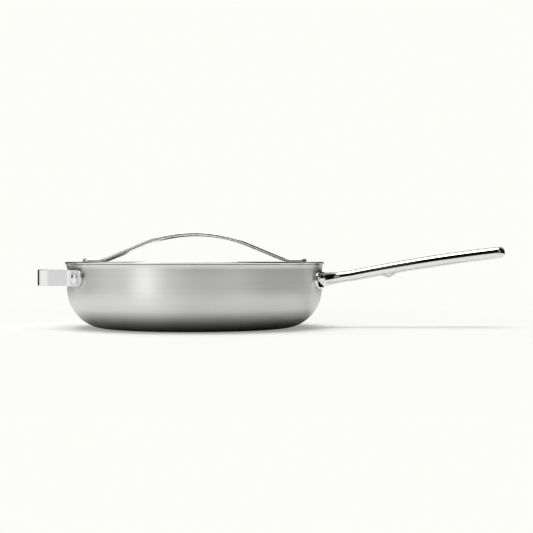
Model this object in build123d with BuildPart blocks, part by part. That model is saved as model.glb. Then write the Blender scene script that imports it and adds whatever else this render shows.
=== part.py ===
from build123d import *
import math
import os

os.makedirs("parts", exist_ok=True)

# Saute pan with lid. The origin is the centre of the base, on the surface that the pan stands on.
# +X runs along the long handle, -X to the helper handle, +Z up. All lengths are millimetres.

# Pan body
pan_outer_radius = 150.0
pan_height = 73.9
corner_width = 45.0
straight_wall_height = 21.4
corner_turn = 45.0
rim_flare_radius = 10.0
rim_flare_angle = 25.0

# Bonded layers of the pan wall, from the outside in
outer_steel_thickness = 0.5
outer_aluminium_thickness = 0.6
middle_steel_thickness = 0.4
inner_aluminium_thickness = 0.6
inner_steel_thickness = 0.5

# Rivets of both pan handles
rivet_head_radius = 6.5
rivet_head_height = 3.4
rivet_inner_head_height = 1.8
rivet_shank_radius = 3.2
rivet_hole_clearance = 0.1

# Long handle: root plate, boss, neck and grip
plate_length = 114.8
plate_height = 19.6
plate_thickness = 3.2
plate_below_flare = 2.9
long_rivet_spacing = 78.6
long_rivet_lift = 2.4
boss_width = 52.0
boss_thickness = 17.6
neck_reach = 34.0
neck_lift = 5.1
neck_width = 19.0
neck_thickness = 12.2
neck_slope = 11.15
grip_reach = 215.0
grip_bend_radius = 2240.0
grip_width = 28.0
grip_thickness = 13.6
grip_nose_width = 6.0
grip_nose_thickness = 1.0
grip_nose_turn = 87.0
side_round_share = 0.47
swell_end_share = 0.62
stop_from_neck = 44.0
stop_depth = 4.6
stop_front_length = 8.6
stop_back_length = 10.0
stop_width = 13.0
stop_round = 1.0
hang_hole_radius = 4.5
hang_hole_from_end = 17.0
boss_steps = 8
grip_steps = 14
nose_steps = 8

# Helper handle, a bent band
helper_height = 18.8
helper_thickness = 3.0
helper_below_flare = 0.1
helper_reach = 28.4
helper_width = 128.0
helper_corner_radius = 22.0
helper_root_radius = 10.0
helper_ear_length = 29.2
helper_rivet_from_tip = 17.5

# Lid: a flat sheet with a locating channel pressed inside the rim, and a rolled edge
lid_overhang = 2.3
lid_edge_thickness = 3.1
lid_sheet_thickness = 1.2
lid_hem_gap = 0.1
lid_seat_gap = 0.3
lid_channel_gap = 1.2
lid_channel_width = 8.0
lid_channel_depth = 5.2
lid_bend_radius = 2.2

# Strap handle of the lid
strap_thickness = 3.5
strap_rise = 34.6
strap_edge_gap = 2.9
strap_lean_share = 1.48
strap_foot_radius = 32.0
strap_foot_flat = 14.0
strap_tip_radius = 6.0
strap_tip_turn = 24.0
strap_width = 44.0
strap_foot_width = 34.0
strap_corner_radius = 7.0
stud_radius = 3.0
stud_spacing = 17.0
stud_head_radius = 4.6
stud_head_height = 1.4
stud_hole_clearance = 0.1

cut_overrun = 20.0

# Worked out from the sizes above
wall_thickness = (
    outer_steel_thickness
    + outer_aluminium_thickness
    + middle_steel_thickness
    + inner_aluminium_thickness
    + inner_steel_thickness
)
pan_inner_radius = pan_outer_radius - wall_thickness
base_flat_radius = pan_outer_radius - corner_width
flare_start = pan_height - (rim_flare_radius + wall_thickness) * math.sin(math.radians(rim_flare_angle))
plate_bottom = flare_start - plate_below_flare - plate_height
plate_middle = plate_bottom + plate_height / 2
helper_bottom = flare_start - helper_below_flare - helper_height
helper_middle = helper_bottom + helper_height / 2
lid_under_edge = pan_height + lid_seat_gap
lid_top = lid_under_edge + lid_edge_thickness

# The base corner is two arcs, tight below and wide above, that together fill its width and height
corner_height = flare_start - straight_wall_height
corner_sine = math.sin(math.radians(corner_turn))
corner_cosine = math.cos(math.radians(corner_turn))
corner_scale = corner_sine + corner_cosine - 1
corner_low_radius = (corner_width * corner_cosine - corner_height * (1 - corner_sine)) / corner_scale
corner_high_radius = (corner_height * corner_sine - corner_width * (1 - corner_cosine)) / corner_scale

# Helper handle: where its root bends meet the wall, and how far round the wall its ears go
helper_bend_y = helper_width / 2 - helper_thickness + helper_root_radius
helper_bend_x = math.sqrt((pan_outer_radius + helper_root_radius) ** 2 - helper_bend_y**2)
helper_root_angle = math.degrees(math.atan2(helper_bend_y, helper_bend_x))
helper_ear_angle = helper_root_angle + math.degrees(helper_ear_length / pan_outer_radius)
helper_rivet_angle = helper_ear_angle - math.degrees(helper_rivet_from_tip / pan_outer_radius)
long_rivet_angle = math.degrees(math.asin(long_rivet_spacing / 2 / pan_outer_radius))


def heading(angle):
    """A direction in a sketch plane, from its angle in degrees."""
    return (math.cos(math.radians(angle)), math.sin(math.radians(angle)))


def wall_curve(inset):
    """The pan's section line from the axis past the rim, moved inwards by a depth; gives its two ends."""
    base = Line((0, inset), (base_flat_radius, inset))
    low = JernArc(base @ 1, heading(0), corner_low_radius - inset, corner_turn)
    high = JernArc(low @ 1, heading(corner_turn), corner_high_radius - inset, 90 - corner_turn)
    wall = Line(high @ 1, (pan_outer_radius - inset, flare_start))
    flare = JernArc(wall @ 1, heading(90), rim_flare_radius + inset, -rim_flare_angle)
    beyond = PolarLine(flare @ 1, cut_overrun, 90 - rim_flare_angle)
    return base @ 0, beyond @ 1


def wall_plane(angle, height):
    """A plane that touches the pan's outer wall and faces away from the pan's axis."""
    outward = Vector(*heading(angle), 0)
    return Plane(origin=outward * pan_outer_radius + Vector(0, 0, height), z_dir=outward)


def drill(planes, radius):
    """Round holes square to the given planes."""
    for plane in planes:
        with BuildSketch(plane) as hole:
            Circle(radius)
        extrude(hole.sketch, amount=cut_overrun, both=True, mode=Mode.SUBTRACT)


long_rivet_planes = [wall_plane(side * long_rivet_angle, plate_middle + long_rivet_lift) for side in (-1, 1)]
helper_rivet_planes = [wall_plane(180 + side * helper_rivet_angle, helper_middle) for side in (-1, 1)]
rivet_hole_radius = rivet_shank_radius + rivet_hole_clearance

# Five bonded layers, each a revolved sheet between two parallel section lines, ground flush at the rim
layers = [
    ("outer_steel_ply", outer_steel_thickness),
    ("outer_aluminium_ply", outer_aluminium_thickness),
    ("middle_steel_ply", middle_steel_thickness),
    ("inner_aluminium_ply", inner_aluminium_thickness),
    ("inner_steel_ply", inner_steel_thickness),
]
layer_depth = 0.0
for layer_name, layer_thickness in layers:
    with BuildPart() as ply:
        with BuildSketch(Plane.XZ):
            with BuildLine():
                outer_foot, outer_rim = wall_curve(layer_depth)
                inner_foot, inner_rim = wall_curve(layer_depth + layer_thickness)
                Line(outer_foot, inner_foot)
                Line(outer_rim, inner_rim)
            make_face()
        revolve(axis=Axis.Z)
        with BuildSketch(Plane.XY.offset(pan_height)):
            Circle(pan_outer_radius + cut_overrun)
        extrude(amount=cut_overrun, mode=Mode.SUBTRACT)
        drill(long_rivet_planes + helper_rivet_planes, rivet_hole_radius)
    ply.part.label = layer_name
    export_step(ply.part, f"parts/{layer_name}.step")
    layer_depth += layer_thickness


def head_arc(base, rise):
    """A rivet head's round outline, from its edge to its crown on the axis."""
    ball = (rivet_head_radius**2 + rise**2) / (2 * abs(rise))
    turn = math.degrees(math.asin(rivet_head_radius / ball))
    way = math.copysign(1, rise)
    return JernArc((rivet_head_radius, base), heading(180 - way * turn), ball, way * turn)


def make_rivet(plate):
    """A domed rivet through a plate on the wall; its axis is Z, and the pan's outer wall is at Z zero."""
    inner_sag = pan_inner_radius - math.sqrt(pan_inner_radius**2 - rivet_head_radius**2)
    inner_base = -wall_thickness - inner_sag
    with BuildPart() as rivet:
        with BuildSketch(Plane.XZ):
            with BuildLine():
                outer_head = head_arc(plate, rivet_head_height)
                inner_head = head_arc(inner_base, -rivet_inner_head_height)
                Polyline(
                    outer_head @ 0,
                    (rivet_shank_radius, plate),
                    (rivet_shank_radius, inner_base),
                    inner_head @ 0,
                )
                Line(outer_head @ 1, inner_head @ 1)
            make_face()
        revolve(axis=Axis.Z)
    return rivet.part


long_rivet = make_rivet(plate_thickness)
with BuildPart() as long_handle_rivets:
    with Locations(*long_rivet_planes):
        add(long_rivet)
long_handle_rivets.part.label = "long_handle_rivets"
export_step(long_handle_rivets.part, "parts/long_handle_rivets.step")

helper_rivet = make_rivet(helper_thickness)
with BuildPart() as helper_handle_rivets:
    with Locations(*helper_rivet_planes):
        add(helper_rivet)
helper_handle_rivets.part.label = "helper_handle_rivets"
export_step(helper_handle_rivets.part, "parts/helper_handle_rivets.step")

# Long handle. Its root plate follows the wall, and one lofted body runs from the boss to the round end.
with BuildPart() as root_plate:
    with BuildSketch(Plane.XY.offset(plate_bottom)):
        Circle(pan_outer_radius + plate_thickness)
        Circle(pan_outer_radius, mode=Mode.SUBTRACT)
    extrude(amount=plate_height)
    with BuildSketch(Plane.YZ):
        with Locations((0, plate_middle)):
            SlotOverall(plate_length, plate_height)
    extrude(amount=pan_outer_radius + plate_thickness + cut_overrun, mode=Mode.INTERSECT)

neck_start = pan_outer_radius + neck_reach
neck_height = plate_middle + neck_lift
grip_run = (grip_reach - neck_reach) / math.cos(math.radians(neck_slope))
grip_turn = math.degrees(grip_run / grip_bend_radius)
with BuildLine(Plane.XZ) as grip_line:
    JernArc((neck_start, neck_height), heading(neck_slope), grip_bend_radius, -grip_turn)
grip_path = grip_line.wire()


def grip_plane(share):
    """The plane square to the grip's middle line at a share of its length."""
    return Plane(origin=grip_path @ share, x_dir=(0, 1, 0), z_dir=grip_path % share)


def bar_section(plane, width, thickness):
    """A flat-topped section with rounded sides."""
    with BuildSketch(plane) as section:
        RectangleRounded(width, thickness, thickness * side_round_share)
    return section.sketch


boss_root = Vector(pan_outer_radius, 0, plate_middle)
neck_point = Vector(neck_start, 0, neck_height)
nose_plan_round = (grip_width - grip_nose_width) / 2
nose_side_round = (grip_thickness - grip_nose_thickness) / 2

# The boss starts inside the wall, which is cut away later, and narrows in a curve to the neck
upright = Plane(origin=boss_root - Vector(wall_thickness, 0, 0), x_dir=(0, 1, 0), z_dir=(1, 0, 0))
bar_sections = [bar_section(upright, boss_width, boss_thickness)]
for step in range(boss_steps):
    left_share = 1 - step / boss_steps
    boss_point = neck_point + (boss_root - neck_point) * left_share
    bar_sections.append(
        bar_section(
            Plane(origin=boss_point, x_dir=(0, 1, 0), z_dir=(1, 0, 0)),
            neck_width + (boss_width - neck_width) * left_share**3,
            neck_thickness + (boss_thickness - neck_thickness) * left_share**2,
        )
    )

# The grip swells from the neck to its full section
for step in range(grip_steps):
    place_share = (1 - nose_plan_round / grip_run) * step / grip_steps
    swell = (1 - math.cos(math.pi * min(place_share / swell_end_share, 1))) / 2
    bar_sections.append(
        bar_section(
            grip_plane(place_share),
            neck_width + (grip_width - neck_width) * swell,
            neck_thickness + (grip_thickness - neck_thickness) * swell,
        )
    )

# Its end is round in plan and, with a smaller radius, from the side
for step in range(nose_steps):
    turn = math.radians(grip_nose_turn * step / (nose_steps - 1))
    depth = nose_plan_round * (1 - math.sin(turn))
    inside = max(nose_side_round - depth, 0)
    plan_loss = nose_plan_round * (1 - math.cos(turn))
    side_loss = nose_side_round - math.sqrt(nose_side_round**2 - inside**2)
    bar_sections.append(
        bar_section(
            grip_plane(1 - depth / grip_run),
            grip_width - 2 * plan_loss,
            grip_thickness - 2 * side_loss,
        )
    )

with BuildPart() as handle_bar:
    loft(bar_sections, ruled=True)

stop_share = stop_from_neck / (grip_reach - neck_reach)
stop_origin = grip_path @ stop_share
stop_plane = Plane(origin=stop_origin, x_dir=grip_path % stop_share, z_dir=(0, -1, 0))
with BuildPart() as finger_stop:
    with BuildSketch(stop_plane):
        with BuildLine():
            Polyline(
                (-stop_front_length, -neck_thickness / 4),
                (-stop_front_length, -neck_thickness / 2),
                (0, -neck_thickness / 2 - stop_depth),
                (stop_back_length, -neck_thickness / 2),
                (stop_back_length, -neck_thickness / 4),
                close=True,
            )
        make_face()
    extrude(amount=stop_width / 2, both=True)
    tip_edges = finger_stop.edges().filter_by(Axis.Y).group_by(Axis.Z)[0]
    fillet(tip_edges, stop_round)

hang_share = 1 - hang_hole_from_end / grip_run
hang_axis = (grip_path % hang_share).cross(Vector(0, 1, 0))
hang_plane = Plane(origin=grip_path @ hang_share, x_dir=(0, 1, 0), z_dir=hang_axis)

with BuildPart() as long_handle:
    add(root_plate.part)
    add(handle_bar.part)
    add(finger_stop.part)
    with BuildSketch(Plane.XY):
        Circle(pan_outer_radius)
    extrude(amount=pan_height + cut_overrun, mode=Mode.SUBTRACT)
    drill(long_rivet_planes, rivet_hole_radius)
    drill([hang_plane], hang_hole_radius)
long_handle.part.label = "long_handle"
export_step(long_handle.part, "parts/long_handle.step")

# Helper handle: a band whose ears lie on the wall, drawn in a plane whose X points away from the long handle
helper_plane = Plane(origin=(0, 0, helper_bottom), x_dir=(-1, 0, 0), z_dir=(0, 0, 1))
helper_loop_x = pan_outer_radius + helper_reach
helper_ear_tip = (pan_outer_radius + helper_thickness) * math.sin(math.radians(helper_ear_angle))


def helper_curve(offset):
    """Half of the band's line, from an ear's end to the middle of the loop; gives its two ends."""
    radius = pan_outer_radius + offset
    ear_end = Vector(*heading(helper_ear_angle)) * radius
    ear = JernArc(ear_end, heading(helper_ear_angle - 90), radius, helper_root_angle - helper_ear_angle)
    root_turn = 90 - helper_root_angle
    root = JernArc(ear @ 1, heading(-root_turn), helper_root_radius - offset, root_turn)
    arm_y = helper_width / 2 - helper_thickness + offset
    arm = Line(root @ 1, (helper_loop_x - helper_corner_radius, arm_y))
    corner = JernArc(arm @ 1, heading(0), helper_corner_radius - helper_thickness + offset, -90)
    middle = (helper_loop_x - helper_thickness + offset, 0)
    Line(corner @ 1, middle)
    return ear_end, middle


with BuildPart() as helper_handle:
    with BuildSketch(helper_plane):
        with BuildLine():
            inner_ear, inner_middle = helper_curve(0)
            outer_ear, outer_middle = helper_curve(helper_thickness)
            Line(inner_ear, outer_ear)
            Line(inner_middle, outer_middle)
        make_face()
        mirror(about=Plane.XZ)
    extrude(amount=helper_height)
    with BuildSketch(Plane.YZ):
        with Locations((0, helper_middle)):
            SlotOverall(2 * helper_ear_tip, helper_height)
    extrude(amount=-helper_loop_x - cut_overrun, mode=Mode.INTERSECT)
    drill(helper_rivet_planes, rivet_hole_radius)
helper_handle.part.label = "helper_handle"
export_step(helper_handle.part, "parts/helper_handle.step")

# Lid disc
lid_edge_radius = pan_outer_radius + lid_overhang
channel_outside = pan_inner_radius - lid_channel_gap
channel_outer_top = channel_outside - lid_sheet_thickness
channel_inner_top = channel_outer_top - lid_channel_width
hem_inside = channel_outer_top + lid_bend_radius + lid_hem_gap
edge_round = lid_edge_thickness / 2


def lid_curve(inset):
    """The lid's section line from the axis over the channel, moved down by a depth; gives its two ends."""
    outer_bend = lid_bend_radius - inset
    inner_bend = lid_bend_radius - lid_sheet_thickness + inset
    height = lid_top - inset
    floor = lid_top - lid_channel_depth - inset
    panel = Line((0, height), (channel_inner_top - lid_bend_radius, height))
    first = JernArc(panel @ 1, heading(0), outer_bend, -90)
    down = Line(first @ 1, (channel_inner_top - inset, floor + inner_bend))
    second = JernArc(down @ 1, heading(-90), inner_bend, 90)
    bottom = Line(second @ 1, (channel_outer_top + inset - inner_bend, floor))
    third = JernArc(bottom @ 1, heading(0), inner_bend, 90)
    up = Line(third @ 1, (channel_outer_top + inset, height - outer_bend))
    fourth = JernArc(up @ 1, heading(90), outer_bend, -90)
    return panel @ 0, fourth @ 1


# Strap line: it ends on the flat of the lid, and its crown arc and straight follow from its run and its drop
strap_reach = channel_inner_top - lid_bend_radius - strap_edge_gap
strap_tip_span = (strap_tip_radius + strap_thickness) * math.sin(math.radians(strap_tip_turn))
strap_run = strap_reach - strap_tip_span - strap_foot_flat
strap_drop = strap_rise - strap_thickness
strap_lean = math.atan2(strap_drop, strap_run) * strap_lean_share
strap_slope = math.degrees(strap_lean)
strap_bow = 1 - math.cos(strap_lean)
strap_bends = (strap_run * math.sin(strap_lean) - strap_drop * math.cos(strap_lean)) / strap_bow
strap_crown_radius = strap_bends - strap_foot_radius
strap_straight = strap_drop * math.sin(strap_lean) / strap_bow - strap_run
stud_place = strap_run + strap_foot_flat / 2
stud_places = [(side * stud_place, row * stud_spacing / 2) for side in (-1, 1) for row in (-1, 1)]

with BuildPart() as lid_disc:
    with BuildSketch(Plane.XZ):
        with BuildLine():
            top_start, top_end = lid_curve(0)
            under_start, under_end = lid_curve(lid_sheet_thickness)
            Line(top_start, under_start)
            Line(top_end, (lid_edge_radius - edge_round, lid_top))
            rolled_edge = JernArc((lid_edge_radius - edge_round, lid_top), heading(0), edge_round, -180)
            Polyline(
                rolled_edge @ 1,
                (hem_inside, lid_under_edge),
                (hem_inside, lid_top - lid_sheet_thickness),
                under_end,
            )
        make_face()
    revolve(axis=Axis.Z)
    with BuildSketch(Plane.XY.offset(lid_top)):
        with Locations(*stud_places):
            Circle(stud_radius + stud_hole_clearance)
    extrude(amount=lid_sheet_thickness, both=True, mode=Mode.SUBTRACT)
lid_disc.part.label = "lid_disc"
export_step(lid_disc.part, "parts/lid_disc.step")


def strap_curve(lift):
    """Half of the strap's line, from its crown to its tip, raised from the underside; gives its ends."""
    depth = strap_thickness - lift
    top = (0, lid_top + strap_rise - depth)
    crown = JernArc(top, heading(0), strap_crown_radius - depth, -strap_slope)
    straight = PolarLine(crown @ 1, strap_straight, -strap_slope)
    foot_bend = JernArc(straight @ 1, heading(-strap_slope), strap_foot_radius + depth, strap_slope)
    foot = PolarLine(foot_bend @ 1, strap_foot_flat, 0)
    tip = JernArc(foot @ 1, heading(0), strap_tip_radius + depth, strap_tip_turn)
    return top, tip @ 1


with BuildPart() as lid_strap:
    with BuildSketch(Plane.XZ):
        with BuildLine():
            under_crown, under_tip = strap_curve(0)
            upper_crown, upper_tip = strap_curve(strap_thickness)
            Line(under_crown, upper_crown)
            Line(under_tip, upper_tip)
        make_face()
        mirror(about=Plane.YZ)
    extrude(amount=strap_width, both=True)
    with BuildSketch(Plane.XY.offset(lid_top)):
        with BuildLine():
            for way in (-1, 1):
                ThreePointArc(
                    (-strap_reach, way * strap_foot_width / 2),
                    (0, way * strap_width / 2),
                    (strap_reach, way * strap_foot_width / 2),
                )
                Line((way * strap_reach, -strap_foot_width / 2), (way * strap_reach, strap_foot_width / 2))
        strap_outline = make_face()
        fillet(strap_outline.vertices(), strap_corner_radius)
    extrude(amount=strap_rise + cut_overrun, mode=Mode.INTERSECT)
    with BuildSketch(Plane.XY.offset(lid_top)):
        with Locations(*stud_places):
            Circle(stud_radius + stud_hole_clearance)
    extrude(amount=strap_thickness, both=True, mode=Mode.SUBTRACT)
lid_strap.part.label = "lid_strap"
export_step(lid_strap.part, "parts/lid_strap.step")

# Studs that hold the strap, flush with its feet, with low heads under the lid
with BuildPart() as lid_strap_studs:
    with BuildSketch(Plane.XY.offset(lid_top + strap_thickness)):
        with Locations(*stud_places):
            Circle(stud_radius)
    extrude(amount=-strap_thickness - lid_sheet_thickness)
    with BuildSketch(Plane.XY.offset(lid_top - lid_sheet_thickness)):
        with Locations(*stud_places):
            Circle(stud_head_radius)
    extrude(amount=-stud_head_height)
lid_strap_studs.part.label = "lid_strap_studs"
export_step(lid_strap_studs.part, "parts/lid_strap_studs.step")
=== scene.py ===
import math

import bpy
from mathutils import Matrix, Vector


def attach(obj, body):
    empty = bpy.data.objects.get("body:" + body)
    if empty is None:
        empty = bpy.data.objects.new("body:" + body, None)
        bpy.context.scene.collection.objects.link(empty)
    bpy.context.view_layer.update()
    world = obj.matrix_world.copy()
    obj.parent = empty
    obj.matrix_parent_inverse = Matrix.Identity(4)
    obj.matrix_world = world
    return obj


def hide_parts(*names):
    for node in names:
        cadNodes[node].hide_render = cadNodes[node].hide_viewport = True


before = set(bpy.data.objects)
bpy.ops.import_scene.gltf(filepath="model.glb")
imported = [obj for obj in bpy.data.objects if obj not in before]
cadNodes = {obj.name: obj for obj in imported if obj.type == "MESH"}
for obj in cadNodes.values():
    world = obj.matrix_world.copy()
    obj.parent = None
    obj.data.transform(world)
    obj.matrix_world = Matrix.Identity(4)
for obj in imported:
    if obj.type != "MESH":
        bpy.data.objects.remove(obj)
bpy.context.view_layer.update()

# Saute pan with lid: brushed clad body, polished cast handle, bent helper band,
# flat lid with an arched strap.
# Everything is in metres in the CAD frame; sizes that match the CAD are given in millimetres times mm.

mm = 0.001
print("frame loaded:", len(cadNodes), "nodes")


# Shader maths

class Sock:
    # one output of a node, with arithmetic that adds Math nodes
    def __init__(self, maker, socket):
        self.maker = maker
        self.socket = socket

    def calc(self, operation, *others):
        sockets = dict(enumerate((self,) + others))
        return self.maker.node("ShaderNodeMath", {"operation": operation}, sockets)

    def calcBack(self, operation, other):
        return self.maker.node("ShaderNodeMath", {"operation": operation}, {0: other, 1: self})

    def __add__(self, other):
        return self.calc("ADD", other)

    def __radd__(self, other):
        return self.calc("ADD", other)

    def __sub__(self, other):
        return self.calc("SUBTRACT", other)

    def __rsub__(self, other):
        return self.calcBack("SUBTRACT", other)

    def __mul__(self, other):
        return self.calc("MULTIPLY", other)

    def __rmul__(self, other):
        return self.calc("MULTIPLY", other)

    def __truediv__(self, other):
        return self.calc("DIVIDE", other)

    def __pow__(self, other):
        return self.calc("POWER", other)

    def smooth(self, low, high):
        # 0 below low, 1 above high, eased between
        sockets = {"Value": self, "From Min": low, "From Max": high}
        return self.maker.node("ShaderNodeMapRange", {"interpolation_type": "SMOOTHSTEP"}, sockets)

    def within(self, low, high, soft):
        # 1 between low and high, with soft edges
        return self.smooth(low - soft, low + soft) * (1 - self.smooth(high - soft, high + soft))


class NodeMaker:
    def __init__(self, tree):
        self.tree = tree
        tree.nodes.clear()

    def node(self, kind, settings=None, sockets=None, out=0):
        made = self.tree.nodes.new(kind)
        for key, value in (settings or {}).items():
            setattr(made, key, value)
        for key, value in (sockets or {}).items():
            if isinstance(value, Sock):
                self.tree.links.new(value.socket, made.inputs[key])
            else:
                made.inputs[key].default_value = value
        return Sock(self, made.outputs[out]) if len(made.outputs) else made

    def mixColour(self, factor, first, second):
        settings = {"data_type": "RGBA"}
        return self.node("ShaderNodeMix", settings, {0: factor, 6: first, 7: second}, 2)

    def combine(self, x, y, z):
        return self.node("ShaderNodeCombineXYZ", None, {0: x, 1: y, 2: z})

    def split(self, vector):
        parts = self.node("ShaderNodeSeparateXYZ", None, {0: vector})
        return [Sock(self, output) for output in parts.socket.node.outputs]

    def noise(self, vector, scale, detail=2.0, roughness=0.5):
        sockets = {"Vector": vector, "Scale": scale, "Detail": detail, "Roughness": roughness}
        return self.node("ShaderNodeTexNoise", None, sockets)

    def paintedShade(self, colour, dark, reach):
        # painted shade: the colour turns darker where other surfaces stand close, by ambient occlusion
        openness = self.node("ShaderNodeAmbientOcclusion", {"samples": 8}, {"Distance": reach}, 1)
        return self.mixColour(openness, dark, colour)

    def bump(self, height, strength, distance):
        sockets = {"Strength": strength, "Distance": distance, "Height": height}
        return self.node("ShaderNodeBump", None, sockets)

    def finish(self, surface):
        self.node("ShaderNodeOutputMaterial", None, {"Surface": surface})


def newMaterial(name):
    material = bpy.data.materials.new(name)
    material.use_nodes = True
    return material, NodeMaker(material.node_tree)


def grey(value, warm=0.0):
    return (value, value * (1 - warm * 0.4), value * (1 - warm), 1)


# Finishes

brushedLook = {
    "bright": grey(0.845),
    "dull": grey(0.805),
    # painted shade: the dark colour and the reach of the darkening near other surfaces
    "paintedShadeColour": grey(0.10, 0.02),
    "paintedShadeReach": 24 * mm,
    "roughness": 0.43,
    "roughSpread": 0.06,
    "lineWidth": 0.24 * mm,
    "bandWidth": 1.8 * mm,
    "lineRun": 90 * mm,
    "bandRun": 4,
    "handlingScale": 22.0,
    "handlingRough": 0.03,
    "anisotropy": 0.85,
    "bump": 0.04,
    "bumpDepth": 0.02 * mm,
    "polishedFrom": 1.0,    # radius where the edge turns glossier; beyond the piece for none
    "polishEdge": 0.6 * mm,
    "polish": 0.72,
}


def brushedSteel(name, look):
    # circular brushing round the Z axis: streaks run round the pan
    # and change fast up the wall and across the lid
    material, maker = newMaterial(name)
    place = maker.node("ShaderNodeTexCoord", out=3)
    x, y, z = maker.split(place)
    radius = (x * x + y * y) ** 0.5
    across = z - radius
    turnX = x / (radius + 1e-6)
    turnY = y / (radius + 1e-6)
    meanRadius = 150 * mm

    def streaks(width, run, detail):
        around = meanRadius / run
        vector = maker.combine(turnX * around, turnY * around, across / width)
        return maker.noise(vector, 1.0, detail, 0.65)

    fine = streaks(look["lineWidth"], look["lineRun"], 3.0)
    bands = streaks(look["bandWidth"], look["lineRun"] * look["bandRun"], 2.0)
    handling = maker.noise(place, look["handlingScale"], 3.0, 0.55).smooth(0.45, 0.75)
    tone = (fine * 0.45 + bands * 0.55).smooth(0.30, 0.72)
    colour = maker.mixColour(tone, look["dull"], look["bright"])
    # painted shade: the colour darkens near the floor, the handles, the rivets and the lid, where shade
    # falls
    colour = maker.paintedShade(colour, look["paintedShadeColour"], look["paintedShadeReach"])
    rough = look["roughness"] + (fine - 0.5) * look["roughSpread"] + handling * look["handlingRough"]
    polished = radius.smooth(look["polishedFrom"], look["polishedFrom"] + look["polishEdge"])
    rough = rough * (1 - polished * look["polish"])
    sockets = {
        "Base Color": colour,
        "Metallic": 1.0,
        "Roughness": rough,
        "Anisotropic": look["anisotropy"],
        "Anisotropic Rotation": 0.25,
        "Normal": maker.bump(fine, look["bump"], look["bumpDepth"]),
    }
    maker.finish(maker.node("ShaderNodeBsdfPrincipled", None, sockets))
    return material


polishedLook = {
    "colour": grey(0.80),
    "worn": grey(0.73),
    "roughness": 0.035,
    "smudge": 0.035,
    "smudgeScale": 38.0,
    "scratch": 0.03,
    "scratchScale": 900.0,
    "bump": 0.04,
    "bumpDepth": 0.01 * mm,
}


def polishedSteel(name, look, grain=(1.0, 1.0, 1.0)):
    # buffed steel: faint smudges, hairline scratches along the buffing direction
    material, maker = newMaterial(name)
    place = maker.node("ShaderNodeTexCoord", out=3)
    smudges = maker.noise(place, look["smudgeScale"], 4.0, 0.6).smooth(0.42, 0.72)
    stretched = maker.node("ShaderNodeMapping", None, {"Vector": place, "Scale": grain})
    hairlines = maker.noise(stretched, look["scratchScale"], 2.0, 0.7)
    colour = maker.mixColour(smudges * 0.5, look["colour"], look["worn"])
    rough = look["roughness"] + smudges * look["smudge"] + (hairlines - 0.5) * look["scratch"]
    sockets = {
        "Base Color": colour,
        "Metallic": 1.0,
        "Roughness": rough,
        "Normal": maker.bump(hairlines, look["bump"], look["bumpDepth"]),
    }
    maker.finish(maker.node("ShaderNodeBsdfPrincipled", None, sockets))
    return material


aluminiumLook = {
    "cut": grey(0.80),
    "scored": grey(0.62),
    "scoringScale": 1400.0,
    "roughness": 0.38,
    "roughSpread": 0.2,
}


def cutAluminium(name, look):
    # the machined edge of the aluminium layers, seen as fine lines along the rim
    material, maker = newMaterial(name)
    place = maker.node("ShaderNodeTexCoord", out=3)
    scoring = maker.noise(place, look["scoringScale"], 2.0, 0.6)
    sockets = {
        "Base Color": maker.mixColour(scoring, look["scored"], look["cut"]),
        "Metallic": 1.0,
        "Roughness": look["roughness"] + (scoring - 0.5) * look["roughSpread"],
    }
    maker.finish(maker.node("ShaderNodeBsdfPrincipled", None, sockets))
    return material


wallSteel = brushedSteel("wallSteel", brushedLook)
lidLook = dict(brushedLook, roughness=0.24, bandWidth=5 * mm, polishedFrom=147 * mm)
lidSteel = brushedSteel("lidSteel", lidLook)
insideSteel = brushedSteel("insideSteel", dict(brushedLook, roughness=0.30))
castSteel = polishedSteel("castSteel", polishedLook, (0.05, 1.0, 1.0))
bandSteel = polishedSteel("bandSteel", dict(polishedLook, roughness=0.045), (1.0, 1.0, 0.05))
strapSteel = polishedSteel("strapSteel", dict(polishedLook, roughness=0.05), (0.05, 1.0, 1.0))
domeSteel = polishedSteel("domeSteel", dict(polishedLook, roughness=0.04))
edgeAluminium = cutAluminium("edgeAluminium", aluminiumLook)
print("finishes made")


# Mesh makers

def heading(angle):
    return Vector((math.cos(math.radians(angle)), math.sin(math.radians(angle))))


class Pen:
    # draws a flat line of points: straight runs, and arcs that leave in the way the pen faces
    def __init__(self, start, angle):
        self.points = [Vector(start)]
        self.angle = angle

    def to(self, point):
        # a long straight gets a point near each end, so that its shading stays flat
        start = self.points[-1]
        way = Vector(point) - start
        if way.length > 2 * mm:
            near = way.normalized() * 0.4 * mm
            self.points += [start + near, start + way - near]
        self.points.append(start + way)
        return self

    def run(self, length):
        return self.to(self.points[-1] + heading(self.angle) * length)

    def arc(self, radius, turn, step=4.0):
        side = math.copysign(90, turn)
        centre = self.points[-1] + heading(self.angle + side) * radius
        count = max(2, math.ceil(abs(turn) / step))
        for i in range(1, count + 1):
            angle = self.angle + turn * i / count
            self.points.append(centre - heading(angle + side) * radius)
        self.angle += turn
        return self


def makeObject(name, verts, faces, material, sharpAngle=35):
    mesh = bpy.data.meshes.new(name)
    mesh.from_pydata([tuple(v) for v in verts], [], faces)
    mesh.validate()
    mesh.shade_smooth()
    mesh.set_sharp_from_angle(angle=math.radians(sharpAngle))
    mesh.materials.append(material)
    piece = bpy.data.objects.new(name, mesh)
    bpy.context.scene.collection.objects.link(piece)
    return piece


def spun(outline, steps, matrix=Matrix.Identity(4)):
    # turns an outline of (radius, height) round Z, from the axis and back to it or as a closed ring
    verts = []
    rings = []
    for radius, height in outline:
        if radius < 1e-7:
            rings.append([len(verts)] * steps)
            verts.append(matrix @ Vector((0, 0, height)))
        else:
            rings.append(list(range(len(verts), len(verts) + steps)))
            for i in range(steps):
                turn = math.tau * i / steps
                verts.append(matrix @ Vector((radius * math.cos(turn), radius * math.sin(turn), height)))
    faces = []
    for lower, upper in zip(rings, rings[1:] + rings[:1]):
        for i in range(steps):
            j = (i + 1) % steps
            corners = list(dict.fromkeys((lower[i], lower[j], upper[j], upper[i])))
            if len(corners) > 2:
                faces.append(corners)
    return verts, faces


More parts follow.
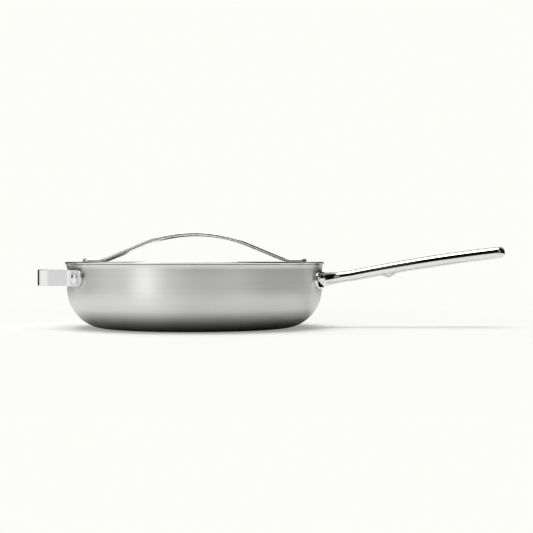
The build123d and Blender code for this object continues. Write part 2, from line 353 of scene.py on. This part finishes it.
def swept(frames, sections):
    # joins one closed section per frame; a frame is (place, side, up); the two ends are closed flat
    verts = []
    count = len(sections[0])
    for (place, side, up), section in zip(frames, sections):
        verts += [place + side * a + up * b for a, b in section]
    faces = []
    for row in range(len(frames) - 1):
        for i in range(count):
            j = (i + 1) % count
            base = row * count
            faces.append((base + i, base + j, base + count + j, base + count + i))
    last = (len(frames) - 1) * count
    faces.append(tuple(reversed(range(count))))
    faces.append(tuple(range(last, last + count)))
    return verts, faces


def roundedSection(width, height, radius, steps=6):
    # a rectangle with round corners, from the lower right corner round
    points = []
    radius = min(radius, width / 2 - 1e-6, height / 2 - 1e-6)
    corners = ((1, -1, -90), (1, 1, 0), (-1, 1, 90), (-1, -1, 180))
    for sideWay, upWay, start in corners:
        centre = Vector((sideWay * (width / 2 - radius), upWay * (height / 2 - radius)))
        flats = (width - 2 * radius, height - 2 * radius)
        before, after = flats if start in (-90, 90) else flats[::-1]
        first = centre + heading(start) * radius
        points.append(first - heading(start + 90) * min(0.15 * mm, before / 4))
        for i in range(steps + 1):
            points.append(centre + heading(start + 90 * i / steps) * radius)
        points.append(points[-1] + heading(start + 180) * min(0.15 * mm, after / 4))
    return points


def merged(*solids):
    # several closed solids as one mesh
    verts = []
    faces = []
    for solidVerts, solidFaces in solids:
        base = len(verts)
        verts += solidVerts
        faces += [[base + i for i in face] for face in solidFaces]
    return verts, faces


def combined(piece, tools, operation):
    # adds or cuts other closed solids and keeps the result as plain mesh
    for tool in tools:
        change = piece.modifiers.new(operation.lower(), "BOOLEAN")
        change.object = tool
        change.operation = operation
        change.solver = "EXACT"
    graph = bpy.context.evaluated_depsgraph_get()
    mesh = bpy.data.meshes.new_from_object(piece.evaluated_get(graph))
    piece.modifiers.clear()
    piece.data = mesh
    mesh.shade_smooth()
    mesh.set_sharp_from_angle(angle=math.radians(35))
    for tool in tools:
        bpy.data.objects.remove(tool)
    return piece


def place(piece, body, nodes):
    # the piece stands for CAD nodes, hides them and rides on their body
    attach(piece, body)
    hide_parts(*nodes)


# Pan body: five bonded sheets

pan = {
    "outerRadius": 150 * mm,
    "height": 73.9 * mm,
    "cornerWidth": 45 * mm,
    "straightWall": 21.4 * mm,
    "cornerTurn": 45,
    "flareRadius": 10 * mm,
    "flareAngle": 25,
    "steps": 288,
}
layers = {
    "outer_steel_ply": (0.5 * mm, wallSteel),
    "outer_aluminium_ply": (0.6 * mm, edgeAluminium),
    "middle_steel_ply": (0.4 * mm, insideSteel),
    "inner_aluminium_ply": (0.6 * mm, edgeAluminium),
    "inner_steel_ply": (0.5 * mm, insideSteel),
}
wallThickness = sum(thickness for thickness, material in layers.values())
flareRise = (pan["flareRadius"] + wallThickness) * math.sin(math.radians(pan["flareAngle"]))
flareStart = pan["height"] - flareRise
cornerRise = flareStart - pan["straightWall"]
cornerSine = math.sin(math.radians(pan["cornerTurn"]))
cornerCosine = math.cos(math.radians(pan["cornerTurn"]))
cornerScale = cornerSine + cornerCosine - 1
cornerLowRadius = (pan["cornerWidth"] * cornerCosine - cornerRise * (1 - cornerSine)) / cornerScale
cornerHighRadius = (cornerRise * cornerSine - pan["cornerWidth"] * (1 - cornerCosine)) / cornerScale


def wallLine(inset):
    pen = Pen((0, inset), 0).to((pan["outerRadius"] - pan["cornerWidth"], inset))
    pen.arc(cornerLowRadius - inset, pan["cornerTurn"], 2.5)
    pen.arc(cornerHighRadius - inset, 90 - pan["cornerTurn"], 2.5)
    pen.to((pan["outerRadius"] - inset, flareStart))
    pen.arc(pan["flareRadius"] + inset, -pan["flareAngle"], 2.5)
    left = pan["height"] - pen.points[-1].y
    if left > 1e-6:
        pen.to(pen.points[-1] + heading(pen.angle) * left / math.sin(math.radians(pen.angle)))
    return pen.points


depth = 0.0
for layerName, (thickness, material) in layers.items():
    outline = wallLine(depth) + wallLine(depth + thickness)[::-1]
    verts, faces = spun(outline, pan["steps"])
    layer = makeObject(layerName.replace("_", "-"), verts, faces, material, 50)
    place(layer, "pan", [layerName])
    depth += thickness
print("pan body made")


# Rivets of the pan's handles

rivets = {
    "headRadius": 6.5 * mm,
    "headHeight": 3.4 * mm,
    "innerHeadHeight": 1.8 * mm,
    "longSpacing": 78.6 * mm,
    "longLift": 2.4 * mm,
    "helperFromTip": 17.5 * mm,
    "steps": 40,
}
innerSag = (pan["outerRadius"] - wallThickness) - math.sqrt(
    (pan["outerRadius"] - wallThickness) ** 2 - rivets["headRadius"] ** 2
)


def domeOutline(rise, base, way):
    # from the axis at the crown out to the head's edge
    radius = rivets["headRadius"]
    ball = (radius**2 + rise**2) / (2 * rise)
    half = math.asin(radius / ball)
    points = []
    for i in range(13):
        turn = half * i / 12
        points.append(Vector((ball * math.sin(turn), base + way * (rise - ball * (1 - math.cos(turn))))))
    return points


def wallMatrix(angle, height):
    # X, Y and Z of the wall's touching plane at an angle round the pan, with Z facing out
    outward = Vector((math.cos(math.radians(angle)), math.sin(math.radians(angle)), 0))
    turn = outward.to_track_quat("Z", "Y").to_matrix().to_4x4()
    return Matrix.Translation(outward * pan["outerRadius"] + Vector((0, 0, height))) @ turn


def rivetSolids(angles, height, plate):
    outer = domeOutline(rivets["headHeight"], plate, 1)
    inner = domeOutline(rivets["innerHeadHeight"], -wallThickness - innerSag, -1)
    matrices = [wallMatrix(angle, height) for angle in angles]
    return merged(*[spun(outer + inner[::-1], rivets["steps"], matrix) for matrix in matrices])


# Long handle: root plate on the wall, boss, neck with a finger stop, grip with a hanging hole

longHandle = {
    "plateLength": 114.8 * mm,
    "plateBelowFlare": 2.9 * mm,
    "plateHeight": 19.6 * mm,
    "plateThickness": 3.2 * mm,
    "plateEdge": 1.3 * mm,
    "bossWidth": 52 * mm,
    "bossThickness": 17.6 * mm,
    "rootDepth": 6 * mm,    # how far the bar starts inside the wall, before the wall is cut away
    "neckReach": 34 * mm,
    "neckLift": 5.1 * mm,
    "neckWidth": 19 * mm,
    "neckThickness": 12.2 * mm,
    "neckSlope": 11.15,
    "gripReach": 215 * mm,
    "gripBend": 2240 * mm,
    "gripWidth": 28 * mm,
    "gripThickness": 13.6 * mm,
    "endPlanRound": 11 * mm,
    "endSideRound": 6.3 * mm,
    "swellEnd": 0.62,
    "sideRound": 0.47,
    "stopFromNeck": 44 * mm,
    "stopDepth": 4.6 * mm,
    "stopFront": 8.6 * mm,
    "stopBack": 10 * mm,
    "stopWidth": 13 * mm,
    "stopEdge": 0.62,
    "stopSoft": 0.008,
    "holeRadius": 4.5 * mm,
    "holeFromEnd": 17 * mm,
    "holeReach": 12 * mm,
    "holeSteps": 48,
}
gripAcross = longHandle["gripReach"] - longHandle["neckReach"]
gripRun = gripAcross / math.cos(math.radians(longHandle["neckSlope"]))
plateMiddle = flareStart - longHandle["plateBelowFlare"] - longHandle["plateHeight"] / 2
neckPoint = Vector((pan["outerRadius"] + longHandle["neckReach"], plateMiddle + longHandle["neckLift"]))


def gripFrame(along):
    # a point on the grip's long arc, with the way it faces
    slope = longHandle["neckSlope"] - math.degrees(along / longHandle["gripBend"])
    centre = neckPoint + heading(longHandle["neckSlope"] - 90) * longHandle["gripBend"]
    point = centre - heading(slope - 90) * longHandle["gripBend"]
    up = heading(slope + 90)
    return Vector((point.x, 0, point.y)), Vector((0, -1, 0)), Vector((up.x, 0, up.y))


def stopDrop(x):
    # the finger stop under the neck: a low ridge with one steeper side and a rounded crest
    offset = x - neckPoint.x - longHandle["stopFromNeck"]
    reach = longHandle["stopBack"] if offset > 0 else longHandle["stopFront"]
    share = max(0.0, 1 - abs(offset) / reach)
    soft = math.sqrt((1 - share) ** 2 + longHandle["stopSoft"]) - math.sqrt(longHandle["stopSoft"])
    return longHandle["stopDepth"] * max(0.0, 1 - soft)


def barSection(width, thickness, drop=0.0):
    points = roundedSection(width, thickness, thickness * longHandle["sideRound"], 7)
    lowered = []
    for a, b in points:
        under = max(0.0, -b / (thickness / 2))
        near = max(0.0, 1 - (abs(a) / (longHandle["stopWidth"] * longHandle["stopEdge"])) ** 4)
        lowered.append(Vector((a, b - drop * under**2 * near)))
    return lowered


def barParts():
    frames = []
    sections = []
    root = Vector((pan["outerRadius"], 0, plateMiddle))
    neck = Vector((neckPoint.x, 0, neckPoint.y))
    upright = (Vector((0, -1, 0)), Vector((0, 0, 1)))
    bossWide, bossThick = longHandle["bossWidth"], longHandle["bossThickness"]
    neckWide, neckThick = longHandle["neckWidth"], longHandle["neckThickness"]
    gripWide, gripThick = longHandle["gripWidth"], longHandle["gripThickness"]
    frames.append((root - Vector((longHandle["rootDepth"], 0, 0)), *upright))
    sections.append(barSection(bossWide, bossThick))
    bossSteps = 22
    for i in range(bossSteps):
        left = 1 - i / bossSteps
        frames.append((neck + (root - neck) * left, *upright))
        width = neckWide + (bossWide - neckWide) * left**3
        thickness = neckThick + (bossThick - neckThick) * left**2
        sections.append(barSection(width, thickness))
    gripSteps = 110
    bodyRun = gripRun - longHandle["endPlanRound"]
    for i in range(gripSteps):
        along = bodyRun * i / gripSteps
        share = along / gripRun
        swell = (1 - math.cos(math.pi * min(share / longHandle["swellEnd"], 1))) / 2
        frames.append(gripFrame(along))
        width = neckWide + (gripWide - neckWide) * swell
        thickness = neckThick + (gripThick - neckThick) * swell
        sections.append(barSection(width, thickness, stopDrop(frames[-1][0].x)))
    endSteps = 16
    for i in range(endSteps):
        turn = math.radians(89 * i / (endSteps - 1))
        left = longHandle["endPlanRound"] * (1 - math.sin(turn))
        inside = max(longHandle["endSideRound"] - left, 0)
        planLoss = longHandle["endPlanRound"] * (1 - math.cos(turn))
        sideLoss = longHandle["endSideRound"] - math.sqrt(longHandle["endSideRound"] ** 2 - inside**2)
        frames.append(gripFrame(gripRun - left))
        sections.append(barSection(gripWide - 2 * planLoss, gripThick - 2 * sideLoss))
    return swept(frames, sections)


def plateSolid():
    # a slot-shaped plate bent round the wall, thinning in a round edge all along its outline
    radius = pan["outerRadius"]
    thickness = longHandle["plateThickness"]
    half = longHandle["plateHeight"] / 2
    reach = (radius + thickness) * math.asin(longHandle["plateLength"] / 2 / (radius + thickness))
    columns = 90
    rows = 24
    verts = []
    for layer in (0, 1):
        for i in range(columns + 1):
            # columns crowd towards the round ends
            share = math.sin(math.pi * (i / columns - 0.5))
            u = reach * share * 0.9995
            beyond = max(0.0, abs(u) - (reach - half))
            tall = math.sqrt(half**2 - beyond**2)
            for k in range(rows + 1):
                v = tall * math.sin(math.pi * (k / rows - 0.5))
                inside = half - math.hypot(beyond, v)
                lift = 1 - (1 - min(inside / longHandle["plateEdge"], 1)) ** 2
                height = radius + layer * (thickness * math.sqrt(max(lift, 0)) + 0.02 * mm)
                angle = u / (radius + thickness)
                verts.append(Vector((height * math.cos(angle), height * math.sin(angle), plateMiddle + v)))
    faces = []
    stride = rows + 1
    size = (columns + 1) * stride
    for i in range(columns):
        for k in range(rows):
            a = i * stride + k
            quad = (a, a + stride, a + stride + 1, a + 1)
            faces.append(tuple(reversed(quad)))
            faces.append(tuple(size + q for q in quad))
    rim = [i * stride for i in range(columns + 1)]
    rim += [columns * stride + k for k in range(1, stride)]
    rim += [i * stride + rows for i in range(columns - 1, -1, -1)]
    rim += [k for k in range(rows - 1, 0, -1)]
    for a, b in zip(rim, rim[1:] + rim[:1]):
        faces.append((a, b, size + b, size + a))
    return verts, faces


cutRadius = pan["outerRadius"] + 0.01 * mm    # a hair off the wall, so that no faces fight
cutTop = 100 * mm
plate = makeObject("plateTool", *plateSolid(), castSteel)
bar = makeObject("long-handle", *barParts(), castSteel)
cutOutline = [(0, 0), (cutRadius, 0), (cutRadius, cutTop), (0, cutTop)]
wallTool = makeObject("wallTool", *spun(cutOutline, pan["steps"]), castSteel)
holePlace, holeSide, holeUp = gripFrame(gripRun - longHandle["holeFromEnd"])
holeTurn = holeUp.to_track_quat("Z", "Y").to_matrix().to_4x4()
holeMatrix = Matrix.Translation(holePlace) @ holeTurn
holeRadius, holeReach = longHandle["holeRadius"], longHandle["holeReach"]
holeOutline = Pen((0, -holeReach), 0).to((holeRadius, -holeReach)).to((holeRadius, holeReach))
holeOutline.to((0, holeReach))
holeSolid = spun(holeOutline.points, longHandle["holeSteps"], holeMatrix)
holeTool = makeObject("holeTool", *holeSolid, castSteel)
combined(bar, [wallTool, holeTool], "DIFFERENCE")
combined(bar, [plate], "UNION")
place(bar, "pan", ["long_handle"])
longAngle = math.degrees(math.asin(rivets["longSpacing"] / 2 / pan["outerRadius"]))
longRivets = makeObject(
    "long-handle-rivets",
    *rivetSolids((-longAngle, longAngle), plateMiddle + rivets["longLift"], longHandle["plateThickness"]),
    domeSteel,
)
place(longRivets, "pan", ["long_handle_rivets"])
print("long handle made")


# Helper handle: one bent band with two ears on the wall

helper = {
    "belowFlare": 0.1 * mm,
    "height": 18.8 * mm,
    "thickness": 3 * mm,
    "reach": 28.4 * mm,
    "width": 128 * mm,
    "cornerRadius": 22 * mm,
    "rootRadius": 10 * mm,
    "earLength": 29.2 * mm,
    "edgeRound": 0.5 * mm,
    "tipHalf": 0.9 * mm,
}
helperMiddle = flareStart - helper["belowFlare"] - helper["height"] / 2
bendY = helper["width"] / 2 - helper["thickness"] + helper["rootRadius"]
bendX = math.sqrt((pan["outerRadius"] + helper["rootRadius"]) ** 2 - bendY**2)
rootAngle = math.degrees(math.atan2(bendY, bendX))
earAngle = rootAngle + math.degrees(helper["earLength"] / pan["outerRadius"])
helperRivetAngle = earAngle - math.degrees(rivets["helperFromTip"] / pan["outerRadius"])


def helperLine():
    # the middle line of half the band, from an ear's end to the middle of the loop, drawn towards +X
    offset = helper["thickness"] / 2
    radius = pan["outerRadius"] + offset
    pen = Pen(heading(earAngle) * radius, earAngle - 90)
    pen.arc(radius, rootAngle - earAngle, 0.35)
    pen.arc(helper["rootRadius"] - offset, 90 - rootAngle, 5)
    pen.run(pan["outerRadius"] + helper["reach"] - helper["cornerRadius"] - pen.points[-1].x)
    pen.arc(helper["cornerRadius"] - offset, -90, 4)
    pen.run(pen.points[-1].y)
    return pen.points


def lineFrames(points, toWorld):
    # the place, side and up of each point of a smooth flat line
    frames = []
    for i, point in enumerate(points):
        ahead = points[min(i + 1, len(points) - 1)] - points[max(i - 1, 0)]
        ahead.normalize()
        frames.append(toWorld(point, Vector((-ahead.y, ahead.x))))
    return frames


def helperSolid():
    half = helperLine()
    line = half + [Vector((p.x, -p.y)) for p in half[-2::-1]]

    def toWorld(point, side):
        return Vector((-point.x, -point.y, helperMiddle)), Vector((-side.x, -side.y, 0)), Vector((0, 0, 1))

    frames = lineFrames(line, toWorld)
    travelled = [0.0]
    for a, b in zip(line, line[1:]):
        travelled.append(travelled[-1] + (b - a).length)
    half = helper["height"] / 2
    sections = []
    for along in travelled:
        left = min(along, travelled[-1] - along)
        tall = helper["height"]
        if left < half:
            tall = 2 * math.sqrt(max(half**2 - (half - left) ** 2, helper["tipHalf"] ** 2))
        sections.append(roundedSection(helper["thickness"], tall, min(helper["edgeRound"], tall / 2.2), 4))
    return swept(frames, sections)


helperBand = makeObject("helper-handle", *helperSolid(), bandSteel)
place(helperBand, "pan", ["helper_handle"])
helperAngles = (180 - helperRivetAngle, 180 + helperRivetAngle)
helperRivets = makeObject(
    "helper-handle-rivets", *rivetSolids(helperAngles, helperMiddle, helper["thickness"]), domeSteel
)
place(helperRivets, "pan", ["helper_handle_rivets"])
print("helper handle made")


# Lid: flat sheet, pressed locating channel, rolled edge

lid = {
    "overhang": 2.3 * mm,
    "edgeThickness": 3.1 * mm,
    "sheet": 1.2 * mm,
    "hemGap": 0.1 * mm,
    "seatGap": 0.3 * mm,
    "channelGap": 1.2 * mm,
    "channelWidth": 8 * mm,
    "channelDepth": 5.2 * mm,
    "bend": 2.2 * mm,
    "steps": 288,
}
lidUnder = pan["height"] + lid["seatGap"]
lidTop = lidUnder + lid["edgeThickness"]
channelOuter = pan["outerRadius"] - wallThickness - lid["channelGap"] - lid["sheet"]
channelInner = channelOuter - lid["channelWidth"]


def lidLine(inset):
    outerBend = lid["bend"] - inset
    innerBend = lid["bend"] - lid["sheet"] + inset
    floor = lidTop - lid["channelDepth"] - inset
    pen = Pen((0, lidTop - inset), 0).to((channelInner - lid["bend"], lidTop - inset))
    pen.arc(outerBend, -90, 10).to((channelInner - inset, floor + innerBend))
    pen.arc(innerBend, 90, 10).to((channelOuter + inset - innerBend, floor))
    pen.arc(innerBend, 90, 10).to((channelOuter + inset, lidTop - inset - outerBend))
    pen.arc(outerBend, -90, 10)
    return pen.points


def lidOutline():
    edgeRound = lid["edgeThickness"] / 2
    pen = Pen((pan["outerRadius"] + lid["overhang"] - edgeRound, lidTop), 0).arc(edgeRound, -180, 12)
    hem = channelOuter + lid["bend"] + lid["hemGap"]
    pen.to((hem, lidUnder)).to((hem, lidTop - lid["sheet"]))
    return lidLine(0) + pen.points + lidLine(lid["sheet"])[::-1]


lidDisc = makeObject("lid-disc", *spun(lidOutline(), lid["steps"]), lidSteel, 50)
place(lidDisc, "lid", ["lid_disc"])
print("lid disc made")


# Strap handle: one arched strip with upturned tips

strap = {
    "thickness": 3.5 * mm,
    "rise": 34.6 * mm,
    "edgeGap": 2.9 * mm,
    "leanShare": 1.48,
    "footRadius": 32 * mm,
    "footFlat": 14 * mm,
    "tipRadius": 6 * mm,
    "tipTurn": 24,
    "width": 44 * mm,
    "footWidth": 34 * mm,
    "cornerRadius": 7 * mm,
    "tipLeft": 0.4 * mm,    # keeps the rounded end from closing to a point
    "edgeRound": 1.35 * mm,
}
strapReach = channelInner - lid["bend"] - strap["edgeGap"]
strapTip = (strap["tipRadius"] + strap["thickness"]) * math.sin(math.radians(strap["tipTurn"]))
strapRun = strapReach - strapTip - strap["footFlat"]
strapDrop = strap["rise"] - strap["thickness"]
strapLean = math.atan2(strapDrop, strapRun) * strap["leanShare"]
strapBow = 1 - math.cos(strapLean)
strapBends = (strapRun * math.sin(strapLean) - strapDrop * math.cos(strapLean)) / strapBow
strapStraight = strapDrop * math.sin(strapLean) / strapBow - strapRun
studPlace = strapRun + strap["footFlat"] / 2


def strapSolid():
    half = strap["thickness"] / 2
    pen = Pen((0, lidTop + strap["rise"] - half), 0)
    slope = math.degrees(strapLean)
    pen.arc(strapBends - strap["footRadius"] - half, -slope, 1.2)
    pieces = 12
    for i in range(pieces):
        pen.run(strapStraight / pieces)
    pen.arc(strap["footRadius"] + half, slope, 2)
    for i in range(pieces):
        pen.run(strap["footFlat"] / pieces)
    pen.arc(strap["tipRadius"] + half, strap["tipTurn"], 2)
    right = pen.points
    line = [Vector((-p.x, p.y)) for p in right[:0:-1]] + right

    def toWorld(point, side):
        return Vector((point.x, 0, point.y)), Vector((0, -1, 0)), Vector((side.x, 0, side.y))

    frames = lineFrames(line, toWorld)
    reach = line[-1].x
    bow = strap["width"] - strap["footWidth"]
    corner = strap["cornerRadius"]
    sections = []
    for point in line:
        width = strap["width"] - bow * (point.x / reach) ** 2
        left = (reach - abs(point.x)) + strap["tipLeft"]
        if left < corner:
            width -= 2 * (corner - math.sqrt(corner**2 - (corner - left) ** 2))
        sections.append(roundedSection(width, strap["thickness"], strap["edgeRound"], 4))
    return swept(frames, sections)


strapPiece = makeObject("lid-strap", *strapSolid(), strapSteel)
place(strapPiece, "lid", ["lid_strap"])


studs = {
    "radius": 3 * mm,
    "spacing": 17 * mm,
    "headRadius": 4.6 * mm,
    "headHeight": 1.4 * mm,
    "headEdge": 0.4 * mm,
    "crown": 0.22 * mm,
    "steps": 32,
}


def studOutline():
    # a flush stud whose face is slightly crowned, with a low round head under the lid
    top = lidTop + strap["thickness"]
    under = lidTop - lid["sheet"]
    edge = studs["headEdge"]
    points = [(0, top + studs["crown"]), (studs["radius"] * 0.6, top + studs["crown"] * 0.75)]
    points += [(studs["radius"], top - 0.1 * mm), (studs["radius"], under), (studs["headRadius"], under)]
    points += [(studs["headRadius"], under - studs["headHeight"] + edge)]
    points += [(studs["headRadius"] - edge, under - studs["headHeight"]), (0, under - studs["headHeight"])]
    return points


studMatrices = [
    Matrix.Translation(Vector((sideWay * studPlace, rowWay * studs["spacing"] / 2, 0)))
    for sideWay in (-1, 1)
    for rowWay in (-1, 1)
]
studSolids = [spun(studOutline(), studs["steps"], matrix) for matrix in studMatrices]
studPiece = makeObject("lid-strap-studs", *merged(*studSolids), domeSteel)
place(studPiece, "lid", ["lid_strap_studs"])
print("strap made")


# Studio: pale floor, a soft room and one wide overhead light

studio = {
    "paper": (0.973, 0.982, 0.939, 1),
    "floorColour": (0.965, 0.974, 0.932, 1),
    "floorHalf": 1.6,
    "floorFade": (0.42, 0.85),
    "floorGlow": 0.32,
    "overheadPower": 1.85,
    "overheadSpread": 42,
    "overheadLean": (-0.03, 0.0),
    # what the metal reflects: turns and lifts are in degrees;
    # the box goes by a direction's x over z, y over z, and z;
    # three numbers are from, to and softness, two are the start and end of one soft step
    "roomLevel": 0.005,
    "horizonLift": (0.2, 1.8),
    "glowLevel": 0.82,
    "glowTurn": (-122, 32, 8),
    "glowLeft": 0.22,
    "glowLeftTurn": (-108, -50, 12),
    "wallLevel": 0.33,
    "wallTurn": (-94, -11, 9),
    "wallLift": (44, 54),
    "stripLevel": 1.42,
    "stripTurn": (-52, -33, 7),
    "fillLevel": 0.28,
    "fillTurn": (30, 56, 6),
    "boxLevel": 0.65,
    "boxAcross": (-1.7, 0.34, 0.1),
    "boxDeep": (-0.3, 0.9, 0.08),
    "boxHeight": (0.3, 0.4),
    "backLevel": 0.38,
    "backTurn": (105, 140),
    "backLift": (17, 72, 7),
}

floorMesh = bpy.data.meshes.new("floor")
floorHalf = studio["floorHalf"]
floorWays = ((-1, -1), (1, -1), (1, 1), (-1, 1))
floorCorners = [(xWay * floorHalf, yWay * floorHalf, 0) for xWay, yWay in floorWays]
floorMesh.from_pydata(floorCorners, [], [(0, 1, 2, 3)])
floor = bpy.data.objects.new("floor", floorMesh)
bpy.context.scene.collection.objects.link(floor)


def floorPaper():
    # lit paper near the pan; to the camera it turns into the plain backdrop farther out
    material, maker = newMaterial("floorPaper")
    x, y, z = maker.split(maker.node("ShaderNodeTexCoord", out=3))
    away = ((x * x + y * y) ** 0.5).smooth(*studio["floorFade"])
    seen = maker.node("ShaderNodeLightPath", out=0)
    lit = maker.node("ShaderNodeBsdfDiffuse", None, {"Color": studio["floorColour"]})
    plain = maker.node("ShaderNodeEmission", None, {"Color": studio["paper"], "Strength": 1.0})
    share = (studio["floorGlow"] + away * (1 - studio["floorGlow"])) * seen
    maker.finish(maker.node("ShaderNodeMixShader", None, {0: share, 1: lit, 2: plain}))
    return material


floorMesh.materials.append(floorPaper())

world = bpy.data.worlds.new("studioWorld")
bpy.context.scene.world = world
world.use_nodes = True


def studioWorld(maker):
    # a pale horizon, a pale wall and a strip light at the front left,
    # a soft box overhead and a dim upper back
    x, y, z = maker.split(maker.node("ShaderNodeTexCoord", out=0))
    turn = x.calc("ARCTAN2", 0 - y) * (180 / math.pi)
    lift = z.calc("ARCSINE") * (180 / math.pi)
    above = lift.smooth(*studio["horizonLift"])
    glowLevel = studio["glowLevel"] + turn.within(*studio["glowLeftTurn"]) * studio["glowLeft"]
    glow = turn.within(*studio["glowTurn"]) * glowLevel
    wall = turn.within(*studio["wallTurn"]) * studio["wallLevel"]
    wall = wall + turn.within(*studio["stripTurn"]) * studio["stripLevel"]
    wall = wall + turn.within(*studio["fillTurn"]) * studio["fillLevel"]
    high = z.calc("MAXIMUM", 0.05)
    across = x / high
    box = across.within(*studio["boxAcross"]) * (y / high).within(*studio["boxDeep"])
    box = box * z.smooth(*studio["boxHeight"])
    level = studio["roomLevel"] + (1 - above) * glow
    level = level + above * (1 - lift.smooth(*studio["wallLift"])) * wall + box * studio["boxLevel"]
    back = turn.calc("ABSOLUTE").smooth(*studio["backTurn"]) * lift.within(*studio["backLift"])
    level = level + back * studio["backLevel"]
    shade = maker.node("ShaderNodeEmission", None, {"Color": (1, 1, 1, 1), "Strength": level})
    paper = maker.node("ShaderNodeEmission", None, {"Color": studio["paper"], "Strength": 1.0})
    seen = maker.node("ShaderNodeLightPath", out=0)
    mixed = maker.node("ShaderNodeMixShader", None, {0: seen, 1: shade, 2: paper})
    maker.node("ShaderNodeOutputWorld", None, {"Surface": mixed})


studioWorld(NodeMaker(world.node_tree))

overheadData = bpy.data.lights.new("overhead", "SUN")
overheadData.energy = studio["overheadPower"]
overheadData.angle = math.radians(studio["overheadSpread"])
overhead = bpy.data.objects.new("overhead", overheadData)
overhead.rotation_mode = "QUATERNION"
overhead.rotation_quaternion = Vector((*studio["overheadLean"], 1)).to_track_quat("Z", "Y")
bpy.context.scene.collection.objects.link(overhead)

# Camera: at the lid's level, a little to the long handle's side of the pan's axis
cameraSet = {"side": 84.4 * mm, "back": 1385 * mm, "height": 72 * mm, "focalPixels": 1167.8}
imageWidth = 533
cameraData = bpy.data.cameras.new("camera")
cameraData.sensor_width = 36
cameraData.lens = cameraSet["focalPixels"] / imageWidth * cameraData.sensor_width
cameraData.clip_end = 200
camera = bpy.data.objects.new("camera", cameraData)
camera.location = (cameraSet["side"], -cameraSet["back"], cameraSet["height"])
camera.rotation_euler = (math.radians(90), 0, 0)
bpy.context.scene.collection.objects.link(camera)
bpy.context.scene.camera = camera

bpy.context.scene.view_settings.view_transform = "Standard"
print("studio and camera made")
